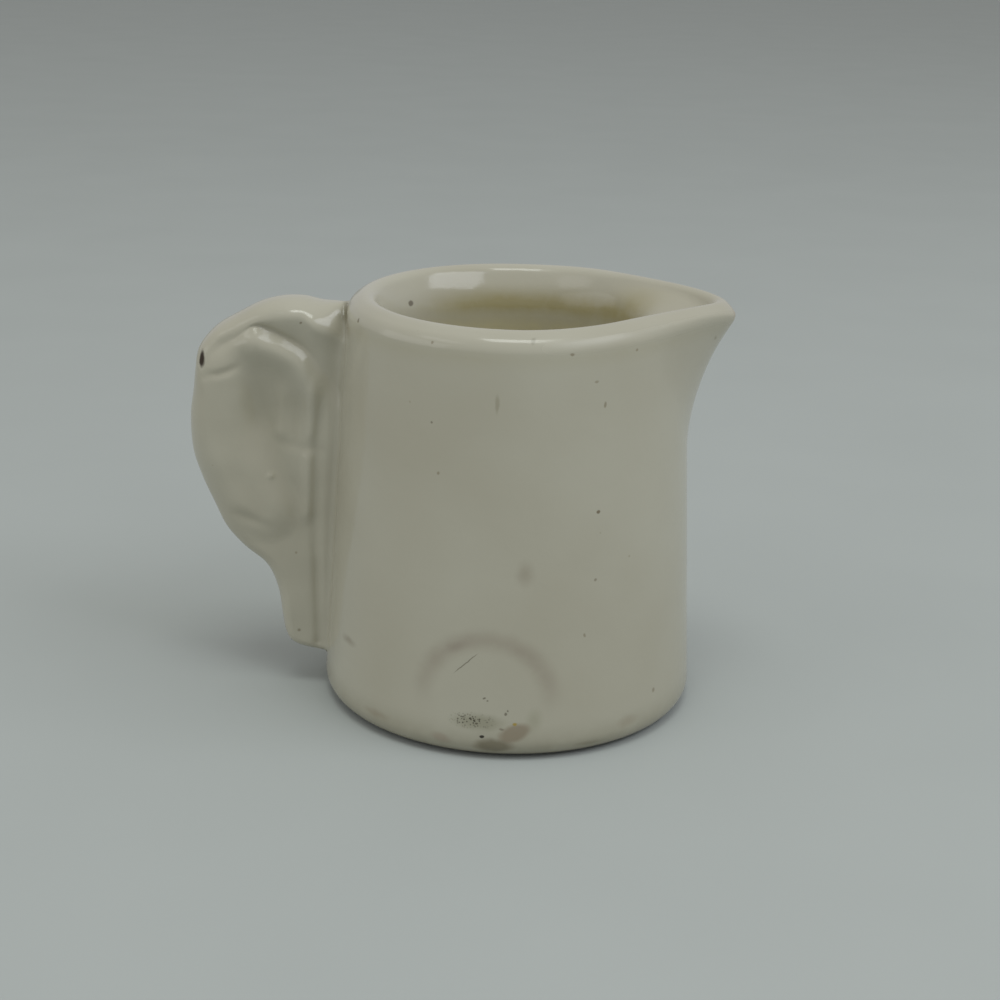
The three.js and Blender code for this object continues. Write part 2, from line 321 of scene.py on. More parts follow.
def pulledToLip(x, y, z, inside):
    radius = math.hypot(x, y)
    rise = max(0.0, (min(z, lip["top"]) - cup["height"] + lip["length"]) / lip["length"])
    pull = lip["reach"] * rise ** lip["flare"]
    if inside:
        pull *= 1 - lip["channel"] * ease(cup["height"] - z, lip["channelTop"], cup["neckDepth"])
    if radius == 0 or pull == 0:
        return x, y, z
    tip = math.radians(lip["tip"])
    half = math.acos(radius / (radius + pull))
    angle = math.hypot(math.atan2(y, x) - math.radians(lip["turn"]), tip)
    stretch = 1 / math.cos(max(0.0, half + tip - angle))
    towardsTip = min(1.0, (stretch - 1) * radius / pull)
    atTip = towardsTip ** 3
    shoulder = ease(z, lip["shoulderLow"], lip["top"]) * (1 - ease(z, lip["top"], cup["height"]))
    z += lip["flankRise"] * ease(z, lip["flankLow"], lip["top"]) * ease(x, *lip["flankRun"]) * (1 - atTip)
    z += shoulder * (lip["shoulderRise"] * math.sin(math.pi * towardsTip) - lip["nose"] * atTip)
    return x * stretch, y * stretch, z


def cupStainsAndPaintedLight(x, y, z, inside):  # shares of the stains, painted shade and painted light named in the glaze
    if inside:
        shadeBand, film = stainsAndPaintedLight["shadeBand"], stainsAndPaintedLight["film"]
        turn = math.atan2(x, max(y, tiny))
        across = ease(turn, *shadeBand["starts"]) * (1 - ease(turn, *shadeBand["ends"]))
        above = shadeBand["above"] + shadeBand["wider"] * ease(turn, *shadeBand["widens"])
        band = bell(z - shadeBand["height"], above if z > shadeBand["height"] else shadeBand["below"])
        return {"shadeUnderRim": across * band, "filmed": film["share"] * (1 - ease(z, *film["fade"]))}
    rim, grimeAndShade, soilAndShadow, wear = (stainsAndPaintedLight[name] for name in ("underRim", "grimeAndShade", "soilAndShadow", "wear"))
    return {
        "shadeUnderRim": rim["share"] * bell(z - rim["height"], rim["width"]),
        "shadedAndGrimed": grimeAndShade["share"] * (1 - ease(z, *grimeAndShade["fade"])),
        "soiledAndShadowed": soilAndShadow["share"] * (1 - ease(z, *soilAndShadow["fade"])),
        "worn": bell(z - wear["height"], wear["width"]) * ease(x, *wear["starts"]),
    }


def makeCup():
    height, floor = cup["height"], cup["floor"]
    neckZ = height - cup["neckDepth"]
    shoulderZ = height - cup["shoulderDrop"]
    corners = [  # radius, height and rounding
        (0, floor, 0),
        (outerRadius(floor) - cup["wall"], floor, cup["cove"]),
        (outerRadius(neckZ) - cup["wall"], neckZ, cup["neckRounding"]),
        (cup["crest"], height + cup["crestRise"], cup["crestRounding"]),
        (outerRadius(shoulderZ), shoulderZ, cup["shoulderRounding"]),
        (outerRadius(0), cup["footLift"], cup["footRounding"]),
        (cup["footRing"], 0, 0),
        (cup["batRadius"], 0, 0),
        (cup["batRadius"], cup["batRecess"], 0),
        (0, cup["batRecess"], 0),
    ]
    bm = bmesh.new()
    points = [bm.verts.new((radius, 0, z)) for radius, z, rounding in corners]
    for pair in zip(points, points[1:]):
        bm.edges.new(pair)
    for point, (radius, z, rounding) in zip(points, corners):
        if rounding:
            bmesh.ops.bevel(bm, geom=[point], affect="VERTICES", offset=rounding,
                            segments=cup["roundingSteps"], profile=0.5, material=-1)
    for edge in list(bm.edges):
        cuts = int(edge.calc_length() / cup["rowLength"])
        if cuts:
            bmesh.ops.subdivide_edges(bm, edges=[edge], cuts=cuts)
    bmesh.ops.spin(bm, geom=bm.verts[:] + bm.edges[:], cent=(0, 0, 0), axis=(0, 0, 1),
                   angle=2 * math.pi, steps=cup["steps"], use_merge=True)
    bmesh.ops.remove_doubles(bm, verts=bm.verts, dist=weld)
    # shares of stains, painted shade and painted light, kept on the mesh
    names = ("shadeUnderRim", "filmed", "shadedAndGrimed", "soiledAndShadowed", "worn")
    layers = {name: bm.verts.layers.float.new(name) for name in names}
    insideLow, insideRadius = floor - 0.1, cup["crest"] - 1  # with a little to spare
    for vert in bm.verts:
        x, y, z = vert.co
        radius, angle = math.hypot(x, y), math.atan2(y, x)
        angle -= cup["crowding"] * math.sin(angle)
        x, y = radius * math.cos(angle), radius * math.sin(angle)
        inside = z > insideLow and radius < insideRadius
        for name, share in cupStainsAndPaintedLight(x, y, z, inside).items():
            vert[layers[name]] = share
        vert.co = pulledToLip(x, y, z, inside)
    return bm


# handle, a solid ear moulded in low relief, in mm

handle = {
    "rootDepth": 2.6,  # how far it runs into the wall, out of sight
    "topRoot": (62.2, 1.6),  # height and edge rounding where it enters the wall
    "lowRoot": (4.8, 1.8),
    "outline": [  # x, z and rounding of the edge
        (-29.0, 62.1, 3.0),
        (-32.5, 62.7, 2.8),
        (-35.8, 62.6, 2.9),
        (-39.1, 61.7, 2.6),
        (-42.5, 59.9, 2.3),
        (-45.9, 57.8, 1.8),
        (-48.4, 54.8, 1.8),
        (-49.1, 51.4, 2.0),
        (-49.5, 48.2, 3.1),
        (-50.1, 44.0, 3.8),
        (-49.9, 38.5, 4.0),
        (-48.6, 34.0, 4.0),
        (-46.8, 29.8, 3.8),
        (-44.9, 25.8, 3.4),
        (-42.0, 22.5, 3.0),
        (-38.7, 19.8, 2.6),
        (-37.0, 16.0, 2.3),
        (-36.3, 11.5, 2.1),
        (-35.8, 8.6, 2.0),
        (-34.8, 6.8, 2.0),
        (-32.4, 5.8, 1.9),
    ],
    "outlineSteps": 12,
    "edgeFullness": 2.3,  # 2 is round, more is squarer
    "rows": 230,
    "columns": 150,
    "byWall": 4.6,  # this stretch next to the root
    "byWallShare": 0.42,  # takes this share of the columns
    "leastWidth": 6.0,  # of a row, for working that stretch out
    "halfThickness": 4.3,
    "bulb": {  # swelling grip
        "axis": [(-45.2, 50), (-45.3, 44), (-44.0, 38.5), (-41.4, 33.5), (-38.6, 30)],
        "radius": 6.4,
        "full": 0.2,  # share of the radius before it falls off
        "rise": 1.1,
    },
    "curl": {  # fat leaf edge that rises round out of its valley, and runs on over the scroll as a soft ridge
        "valley": [
            (-46.8, 53.9), (-44.1, 56.0), (-42.3, 57.0), (-40.9, 58.1), (-39.7, 58.85), (-38.5, 58.8),
            (-37.0, 58.2), (-35.0, 57.25), (-33.0, 56.2), (-31.6, 55.2), (-30.2, 53.7), (-26.0, 48.0),
        ],
        "flank": (0.5, 1.3),  # it climbs evenly for this far, on the scroll and on the curl,
        "top": (0.9, 1.5),  # then turns over
        "fromScroll": (-41.5, -38.5),  # the one goes over into the other here
        "rise": [
            (-47.0, 0), (-45.0, 0.28), (-43, 0.5), (-41.5, 0.8), (-40, 1.25), (-39, 1.3), (-38, 1.2),
            (-36.5, 1.02), (-34, 1.0), (-32, 1.0), (-30.5, 0.55), (-28, 0),
        ],
        "softSide": 2.4,
    },
    "pocket": {  # hollow between the curl and the lower edge of the strap
        "edge": [
            (-41.2, 58.6), (-39.4, 59.5), (-37.4, 60.1), (-35.7, 60.5), (-34.0, 60.8), (-31.0, 60.9),
            (-29.0, 60.0), (-26.0, 58.8),
        ],
        "depth": 0.9,
        "sag": 2.2,  # above 1 it is deepest close to the curl
        "starts": (-41.5, -36.5),
        "fade": (-34.5, -29.0),
        "fadeShare": 0.6,
    },
    "creases": [  # half-width and a line of x, z and depth
        (0.6, [(-49, 50, 0), (-46.5, 51.2, 0.15), (-44.9, 51.5, 0.35), (-43.2, 52.1, 0.35), (-41.4, 53, 0)]),
        (1.8, [(-48, 51.8, 0.1), (-45, 52.7, 0.15), (-42, 54.2, 0)]),  # soft side of the one before
        (0.9, [(-44.0, 29.5, 0), (-42.0, 28.9, 0.3), (-40.0, 28.1, 0.35), (-36.4, 26.6, 0)]),  # lower grip
        (1.0, [(-38.0, 41.1, 0), (-36.0, 40.7, 0.15), (-33.4, 39.9, 0.2), (-29.6, 39.5, 0.1)]),  # across web
        (1.8, [  # behind the grip
            (-40.6, 53, 0.1), (-39.6, 47, 0.4), (-36.8, 39.8, 0.5), (-34.0, 33, 0.5), (-31.6, 24, 0.1),
        ]),
        (0.8, [  # beside the strip on the wall
            (-29.0, 50, 0), (-29.4, 46, 0.22), (-30.3, 40, 0.2), (-30.3, 34, 0.18), (-30.5, 26, 0.35),
            (-30.3, 19.5, 0.5), (-30.2, 7.5, 0.4),
        ]),
        (1.0, [(-33.2, 49.5, 0), (-33.1, 46, 0.35), (-33.3, 42, 0.3), (-33.6, 39.5, 0)]),  # down the web
    ],
    "creaseSteps": 6,
    "web": {"place": (-37.0, 46.6), "radii": (4.8, 6.0), "depth": 1.4},
    "ribs": [  # distance from the wall, where it starts and ends, rise
        (4.2, (39.5, 42.5), (48.5, 52), 0.45),
        (8.9, (39.5, 42.5), (47.5, 51), 0.35),
        (4.2, (26.5, 29.5), (38, 41.5), 0.5),
    ],
    "ribWidth": 0.9,
    "strip": {"out": 1.5, "width": 0.9, "starts": (7, 9), "fade": (43, 53), "rise": 0.12},
    "wallHollow": {  # under the strap
        "out": 1.0,
        "width": 1.7,
        "starts": (44, 53),
        "fade": (57.5, 60.0),
        "depth": 0.4,
    },
    "swells": [  # ends, height, width, and rise
        ((-37.0, -33.5), (-31.5, -28.5), 60.9, 1.4, 0.6),  # front edge of the strap
        ((-32.5, -30.0), (-26.5, -24.0), 59.8, 1.4, 0.9),  # its root
    ],
    "swellBelow": 2,  # times as wide on the lower side
    "rootPad": {  # the strap's end turns in and down to the wall, gently domed
        "place": (-28.4, 60.3),
        "half": 3.85,
        "fall": (0.63, 0.71),
        "dome": (0.05, 0.18),
        "blend": 1.2,
        "low": 55.5,
        "least": 0.3,  # share of the thickness that is always left
    },
    "nub": {"place": (-37.3, 35.3), "width": 0.42, "rise": 0.3},
    "fillet": 1.2,  # radius where the face sweeps out to the wall
    "skirt": {"length": 1.0, "lift": 0.03, "sink": 0.05, "high": (59.5, 60.8)},  # it runs on along the wall
    "unevenness": {"size": 5.0, "height": 0.16},
    "poolsAndShade": {"web": 0.5, "pocket": 0.7, "wallHollow": 0.4, "creases": 0.5},  # shares of thick glaze, and of painted shade in these hollows
    "poolsAndShadeFrom": (-0.2, 1.5),  # distances from the wall
    "grimeAndShade": {"share": 0.15, "more": 0.6, "upper": (56, 60), "out": 0.1, "width": 0.5},  # grime in the joint
    "chip": {"place": (-47.4, -3.9, 53.3), "radii": (1.1, 1.4, 1.9), "depth": 0.3, "rough": 3.0},
}


def curlRelief(points):  # height of the curl's ridge, and how far the pocket above it is hollowed
    curl, pocket = handle["curl"], handle["pocket"]
    x = points[:, 0]
    below = -sideOf(smoothLine(curl["valley"]), points)
    onCurl = ease(x, *curl["fromScroll"])
    flank, top = (low + (high - low) * onCurl for low, high in (curl["flank"], curl["top"]))
    turned = np.clip(below - flank, 0, top)
    roundUp = (np.clip(below, 0, flank) + turned - turned ** 2 / (2 * top)) / (flank + top / 2)
    rise = smoothLine(curl["rise"])
    rise = np.interp(x, rise[:, 0], rise[:, 1])
    ridge = rise * roundUp * bell(np.clip(below - flank - top, 0, None), curl["softSide"])
    over = np.clip(-below, 0, None)
    under = np.clip(-sideOf(smoothLine(pocket["edge"]), points), 0, None)
    slope = under / np.clip(under + over, tiny, None)
    hollow = np.where(below < 0, slope ** pocket["sag"], 1 - roundUp) * ease(x, *pocket["starts"])
    hollow *= 1 - pocket["fadeShare"] * ease(x, *pocket["fade"])
    return ridge, hollow


def mouldedFace(points, fromWall):  # half thickness with its relief, and the share of glaze pooled in its hollows, which also carries painted shade
    x, z = points[:, 0], points[:, 1]
    bulb, web, pocket, strip = (handle[name] for name in ("bulb", "web", "pocket", "strip"))
    corner, nub, uneven, poolsAndShade = (handle[name] for name in ("wallHollow", "nub", "unevenness", "poolsAndShade"))
    face = np.full(len(x), handle["halfThickness"])
    gap, _ = nearestOn(smoothLine(bulb["axis"]), points)
    face += bulb["rise"] * (1 - ease(gap / bulb["radius"], bulb["full"], 1))
    acrossWeb, upWeb = ((points[:, i] - web["place"][i]) / web["radii"][i] for i in (0, 1))
    sunk = bell(np.hypot(acrossWeb, upWeb), 1)
    face -= web["depth"] * sunk
    # the hollows are drawn darker: thicker glaze, and painted shade
    pooledAndShaded = poolsAndShade["web"] * sunk
    for out, start, end, rise in handle["ribs"]:
        length = ease(z, *start) * (1 - ease(z, *end))
        face += rise * length * bell(fromWall - out, handle["ribWidth"])

    ridge, hollow = curlRelief(points)
    face += ridge
    face -= pocket["depth"] * hollow
    pooledAndShaded += poolsAndShade["pocket"] * hollow ** 2

    length = ease(z, *strip["starts"]) * (1 - ease(z, *strip["fade"]))
    face += strip["rise"] * length * bell(fromWall - strip["out"], strip["width"])
    sunk = ease(z, *corner["starts"]) * (1 - ease(z, *corner["fade"]))
    sunk *= bell(fromWall - corner["out"], corner["width"])
    face -= corner["depth"] * sunk
    pooledAndShaded += poolsAndShade["wallHollow"] * sunk
    for left, right, height, width, rise in handle["swells"]:
        across = bell(z - height, np.where(z < height, handle["swellBelow"] * width, width))
        face += rise * ease(x, *left) * (1 - ease(x, *right)) * across
    face += nub["rise"] * bell(np.hypot(x - nub["place"][0], z - nub["place"][1]), nub["width"])
    bumps = [noise.noise((a / uneven["size"], 0, b / uneven["size"])) for a, b in points]
    face += uneven["height"] * np.array(bumps)
    for width, line in handle["creases"]:
        gap, depth = nearestOn(smoothLine(line, handle["creaseSteps"]), points)
        sunk = np.clip(depth[:, 0], 0, None) * bell(gap, width)
        face -= sunk
        pooledAndShaded += poolsAndShade["creases"] * sunk
    return face, pooledAndShaded


def edgeShare(points, outline):  # 0 at the outline, 1 where its rounding ends
    depthIn, rounding = nearestOn(outline, points)
    inShare = np.clip(1 - depthIn / rounding[:, 0], 0, 1)
    return (1 - inShare ** handle["edgeFullness"]) ** (1 / handle["edgeFullness"])


def trimmedToPad(points, face):
    pad = handle["rootPad"]
    x, z = points[:, 0], points[:, 1]
    plane = np.full(len(x), pad["half"])
    for value, middle, fall, dome in zip((x, z), pad["place"], pad["fall"], pad["dome"]):
        plane -= fall * (value - middle) + dome * np.clip(value - middle, 0, None) ** 2
    trimmed = np.maximum(softMinimum(plane, face, pad["blend"]), pad["least"] * face)
    return np.where(z > pad["low"], trimmed, face)


def sweptToWall(points, face, edge, fromWall):  # fillet, thin skirt, and the root inside the wall
    skirt, fillet, base = handle["skirt"], handle["fillet"], outerRadius(points[:, 1])
    wall = base + np.interp(points[:, 1], skirt["high"], (skirt["lift"], -skirt["lift"]))
    reach = np.sqrt((wall + fillet) ** 2 - (face + fillet) ** 2)  # the fillet's centre, from the cup's axis
    start = reach - base
    end = reach * wall / (wall + fillet) - base
    inShare = np.clip((start - np.maximum(fromWall, end)) / fillet, 0, 1)
    face = face + edge * fillet * (1 - np.sqrt(1 - inShare ** 2))
    dive = end - skirt["length"]
    sunk = np.clip((end - fromWall) / skirt["length"], 0, 1) * (skirt["lift"] + skirt["sink"])
    alongWall = np.sqrt((wall - sunk) ** 2 - (base + np.clip(fromWall, dive, end)) ** 2)
    face = np.where(fromWall < end, alongWall * edge, face)
    inRoot = np.clip((dive - fromWall) / (dive + handle["rootDepth"]), 0, 1)
    return face * np.sqrt(1 - inRoot ** 2)


def handleFace(points, outline):  # half thickness, and shares of thick glaze with painted shade in the hollows, and of grime
    z = points[:, 1]
    fromWall = -points[:, 0] - outerRadius(z)
    face, pooledAndShaded = mouldedFace(points, fromWall)
    edge = edgeShare(points, outline)
    face = trimmedToPad(points, face * edge)
    face = sweptToWall(points, face, edge, fromWall)
    pooledAndShaded = np.clip(pooledAndShaded, 0, 1) * ease(fromWall, *handle["poolsAndShadeFrom"])
    grimeAndShade = handle["grimeAndShade"]
    shadedAndGrimed = grimeAndShade["share"] + grimeAndShade["more"] * ease(z, *grimeAndShade["upper"])
    return face, pooledAndShaded, shadedAndGrimed * bell(fromWall - grimeAndShade["out"], grimeAndShade["width"])


def rootLine(z):  # x of the handle's end inside the wall
    return handle["rootDepth"] - outerRadius(z)


def makeHandle():
    (topZ, topEdge), (lowZ, lowEdge) = handle["topRoot"], handle["lowRoot"]
    ends = [(rootLine(topZ), topZ, topEdge), (rootLine(lowZ), lowZ, lowEdge)]
    outline = smoothLine([ends[0], *handle["outline"], ends[1]], handle["outlineSteps"])
    steps = np.linalg.norm(np.diff(outline[:, :2], axis=0), axis=1)
    length = np.concatenate([[0], np.cumsum(steps)])
    bm = bmesh.new()
    bmesh.ops.create_grid(bm, x_segments=handle["rows"], y_segments=handle["columns"], size=0.5)
    grid = np.array([vert.co[:2] for vert in bm.verts]) + 0.5
    along = grid[:, 0] * length[-1]
    rim = np.stack([np.interp(along, length, outline[:, i]) for i in (0, 1)], 1)
    rootZ = topZ + (lowZ - topZ) * grid[:, 0]
    root = np.stack([rootLine(rootZ), rootZ], 1)
    share = handle["byWallShare"]
    byWall = handle["byWall"] / np.linalg.norm(rim - root, axis=1).clip(handle["leastWidth"])
    beyond = byWall + (1 - byWall) * np.sin(math.pi / 2 * (grid[:, 1] - share) / (1 - share))
    out = np.where(grid[:, 1] < share, byWall * grid[:, 1] / share, beyond)  # closer rows by wall and edge
    points = root + (rim - root) * out[:, None]
    face, *shares = handleFace(points, outline)
    atEnd = 0.00001
    face[(out > 1 - atEnd) | (out < atEnd)] = 0  # the two halves meet here
    # shares of thick glaze with painted shade, and of grime in the joint
    layers = [bm.verts.layers.float.new(name) for name in ("thickGlazeAndShade", "shadedAndGrimed")]
    for vert, (x, z), y, *amounts in zip(bm.verts, points, face, *shares):
        vert.co = (x, -y, z)
        for layer, amount in zip(layers, amounts):
            vert[layer] = amount
    bmesh.ops.remove_doubles(bm, verts=bm.verts, dist=weld)
    bmesh.ops.mirror(bm, geom=bm.verts[:] + bm.edges[:] + bm.faces[:], matrix=Matrix.Identity(4),
                     merge_dist=weld, axis="Y")
    chip, worn = handle["chip"], bm.verts.layers.float.new("worn")
    for vert in bm.verts:
        away = [(a - b) / r for a, b, r in zip(vert.co, chip["place"], chip["radii"])]
        share = max(0.0, 1 - sum(v * v for v in away))
        vert.co.x += chip["depth"] * share ** 2
        vert[worn] = chip["rough"] * share
    return bm


# unglazed middle of the underside, in mm

underside = {
    "radius": batHigh.y / mm,
    "height": 0.8,
    "edge": 0.25,
    "edgeSteps": 3,
    "segments": 96,
    "sharp": 1.0,  # radians, edges that turn more than this are rounded
}


def makeUnderside():
    bm = bmesh.new()
    bmesh.ops.create_cone(bm, cap_ends=True, segments=underside["segments"], radius1=underside["radius"],
                          radius2=underside["radius"], depth=underside["height"],
                          matrix=Matrix.Translation((0, 0, underside["height"] / 2)))
    sharp = [edge for edge in bm.edges if edge.calc_face_angle() > underside["sharp"]]
    bmesh.ops.bevel(bm, geom=sharp, affect="EDGES", offset=underside["edge"],
                    segments=underside["edgeSteps"], profile=0.5, material=-1)
    return bm


# finishes, with sizes in mm

glaze = {
    "colour": "#b8b5a4",
    "thin": "#b2ae9c",
    "thickGlazeAndShade": "#a5a18d",  # where it gathers in hollows, and painted shade there
    "shadeUnderRim": "#a0976f",  # painted shade just under the rim, inside and out
    # painted light: the lower inside drawn paler
    "filmed": "#c9c29e",
    "shadedAndGrimed": "#918d7a",  # painted shade low on the wall by the table, and grime in the handle's joint
    "soiledAndShadowed": "#453f30",  # dirt and painted contact shadow under the edge of the foot
    "mottle": 25.0,  # drifts of thicker and thinner glaze
    "mottleRange": (0.35, 0.65),
    "cloud": 3.0,  # unevenness of stains, painted shade and light, and gloss
    "cloudDetail": 3,
    "cloudRange": (0.3, 0.7),
    "cloudShare": (0.82, 1.18),
    "wave": 12.0,
    "ripple": 2.5,  # finer unevenness of the surface
    "rippleShare": 0.3,
    "bumpStrength": 0.3,
    "bumpHeight": 0.4,
    "roughness": (0.1, 0.17),
    "wornRoughness": 0.25,  # more on the shoulder of the rim and in the chip
    "ior": 1.52,
    "speckSpacing": 6.5,  # iron specks, of which about half the places have one
    "speckSize": 0.27,
    "speckColour": "#7a6a4c",
    "speckFrom": 0.4,
    "speckStrength": 0.55,
    "wander": 1.5,
    "ragged": 0.5,  # how far the edges of stains and chips wander
    "markDepth": 2.0,  # half depth of a mark on the wall
    "markEdge": (1.05, 0.2),  # where a mark ends, in its half sizes, and how much further when soft
    "markFull": 0.9,  # where a hard one is full
}
wallMarks = {  # angle round the cup, height, half width, half height, tilt, colour, strength, softness
    "streak": (-95.2, 54.0, 0.35, 1.6, 0, "#7d745a", 0.35, 0.6),
    "thumbSmudge": (-85.3, 29.2, 1.5, 2.1, 0, "#8d8270", 0.4, 1.0),
    "smudgeByHandle": (-148.0, 12.7, 2.4, 0.8, 0, "#7f7463", 0.45, 0.9),
    "scratch": (-102.2, 15.1, 0.1, 2.6, -46, "#4d4331", 0.55, 0.3),
    "greenPatch": (-97.8, 6.1, 4.5, 1.5, 0, "#7f7d63", 0.5, 0.7),
    "greenRight": (-81.5, 6.6, 1.4, 2.1, 0, "#87876c", 0.3, 0.9),
    "pinkPatch": (-87.2, 4.6, 2.8, 1.5, 20, "#857660", 0.68, 0.4),
    "pinkLeft": (-109.0, 2.9, 1.8, 0.9, -15, "#8f7d6e", 0.4, 0.7),
    "footPatch": (-93.2, 2.4, 3.4, 1.4, 0, "#6f6751", 0.75, 0.5),
    "footLeft": (-132.0, 3.6, 3.0, 0.8, 0, "#8f826c", 0.4, 1.0),
    "footRight": (-51.0, 4.1, 2.4, 1.1, 0, "#8f826c", 0.35, 1.0),
    "footDark": (-64.0, 2.0, 3.0, 0.5, 0, "#6f6650", 0.4, 1.0),
    "ringBlotch": (-105.3, 17.4, 2.3, 0.9, 25, "#86796d", 0.3, 1.0),
    "ironBig": (-62.6, 37.8, 0.32, 0.32, 0, "#5d4c2c", 0.75, 0.4),
    "ironHigh": (-60.7, 53.5, 0.25, 0.5, 0, "#6a5a38", 0.5, 0.5),
    "ironUpper": (-63.7, 56.9, 0.45, 0.25, 0, "#6a5a38", 0.4, 0.5),
    "ironLeft": (-116.0, 50.4, 0.22, 0.22, 0, "#4f4630", 0.55, 0.4),
    "ironMid": (-113.0, 43.2, 0.25, 0.3, 0, "#6a5a38", 0.45, 0.5),
    "ironLow": (-63.2, 27.6, 0.3, 0.28, 0, "#5d5036", 0.5, 0.5),
    "ironLower": (-66.5, 19.3, 0.25, 0.35, 0, "#6a5a38", 0.45, 0.5),
    "ironFoot": (-39.4, 7.4, 0.45, 0.5, 0, "#6f6044", 0.5, 0.7),
    "pitA": (-100.2, 6.6, 0.2, 0.2, 0, "#3b3320", 0.7, 0.4),
    "pitB": (-98.2, 5.9, 0.24, 0.2, 0, "#3b3320", 0.7, 0.4),
    "pitC": (-99.0, 6.4, 0.22, 0.2, 0, "#3b3320", 0.7, 0.4),
    "pitD": (-96.2, 9.9, 0.3, 0.2, 30, "#3f3722", 0.6, 0.4),
    "pitH": (-95.2, 9.5, 0.16, 0.16, 0, "#3f3722", 0.55, 0.4),
    "pitE": (-89.9, 7.6, 0.25, 0.25, 0, "#3f3722", 0.6, 0.4),
    "pitI": (-89.4, 8.1, 0.16, 0.2, 0, "#3f3722", 0.55, 0.4),
    "pitG": (-91.0, 5.2, 0.45, 0.25, 0, "#5a4a34", 0.5, 0.6),
    "pitF": (-96.6, 3.9, 0.36, 0.3, 0, "#251f16", 0.95, 0.3),
    "yellowSpot": (-87.1, 6.0, 0.38, 0.32, 0, "#a48a22", 0.8, 0.5),
    "rimSpotLeft": (-117.1, 61.8, 0.25, 0.25, 0, "#6d5d3e", 0.55, 0.5),
    "rimSpot": (-72.3, 61.1, 0.45, 0.25, 0, "#6d5d3e", 0.55, 0.5),
    "rimSpotRight": (-48.3, 60.7, 0.28, 0.28, 0, "#6d5d3e", 0.45, 0.5),
    "rimNick": (-84.4, 62.9, 0.6, 0.45, 40, "#8d8977", 0.6, 0.5),
    "speckByStrap": (-154.3, 61.8, 0.4, 0.35, 0, "#5a4d30", 0.7, 0.5),
    "speckUnderStrap": (-167.5, 59.4, 0.35, 0.25, 0, "#5a4d30", 0.6, 0.5),
}
placedMarks = {  # place, half sizes, colour, strength, softness
    "chip": ((-47.4, -3.9, 53.3), (0.6, 1.3, 1.75), "#2c1d07", 1.0, 0.3),
    "strapSpeck": ((-32.4, -3.9, 59.7), (0.4, 1.2, 0.32), "#5a4826", 0.8, 0.4),
    "tailPit": ((-33.2, -3.6, 9.5), (0.4, 1.2, 0.35), "#6b5d42", 0.6, 0.5),
    "innerSpeck": ((-16.8, 10.5, 59.7), (0.7, 0.7, 0.5), "#4d4230", 0.75, 0.4),
    "dirtByStrap": ((-25.9, -3.6, 60.9), (1.1, 3.0, 1.5), "#6a6340", 0.7, 0.9),
    "tintByStrap": ((-25.2, -6.5, 59.6), (1.3, 2.5, 1.7), "#857759", 0.35, 1.0),
    "lipDirt": ((27.2, -6.3, 61.4), (0.9, 1.2, 0.5), "#776842", 0.55, 0.8),
    "lipSpeck": ((28.2, -5.0, 61.7), (0.4, 1.0, 0.35), "#5a4a2a", 0.7, 0.4),
    "lipNick": ((29.8, -3.5, 59.2), (0.4, 1.2, 0.6), "#7c745a", 0.6, 0.5),
    "lipTip": ((33.3, 0.0, 62.3), (1.1, 2.0, 1.3), "#b8a48f", 0.55, 1.0),
}
pitted = {  # a crowd of pin-holes
    "angle": -100.0,
    "height": 6.25,
    "half": (3.2, 1.2),
    "fade": (1.2, 0.5),  # in these half sizes
    "spacing": 0.38,
    "size": 0.17,
    "colour": "#332c1b",
    "strength": 0.8,
}
ringStain = {
    "angle": -96.0,
    "height": 9.4,
    "radius": 9.5,
    "depth": 40.0,  # so deep that the wall's curve doesn't cut it
    "width": 2.4,
    "colour": "#8b7d6e",
    "strength": 0.36,
    "open": (6, 15),  # it fades out between these heights
}
clay = {
    "light": "#b3a68c",
    "dark": "#a3967e",
    "grit": 0.8,
    "bumpStrength": 0.5,
    "bumpHeight": 0.1,
    "roughness": 0.8,
    "ior": 1.52,
}


def onWall(angle, height):  # a place on the outer wall
    radius, turn = outerRadius(height), math.radians(angle)
    return radius * math.cos(turn), radius * math.sin(turn), height


def markShare(tree, coords, place, turn, tilt, radii):  # distance from a mark's middle, 1 at its edge
    local = addNode(tree, "ShaderNodeMapping", {
        "Vector": coords, "Location": [v * mm for v in place], "Scale": [v * mm for v in radii],
        "Rotation": (math.radians(tilt), 0, math.radians(turn)),
    }, vector_type="TEXTURE")
    return addNode(tree, "ShaderNodeVectorMath", {0: local.outputs[0]}, operation="LENGTH").outputs["Value"]


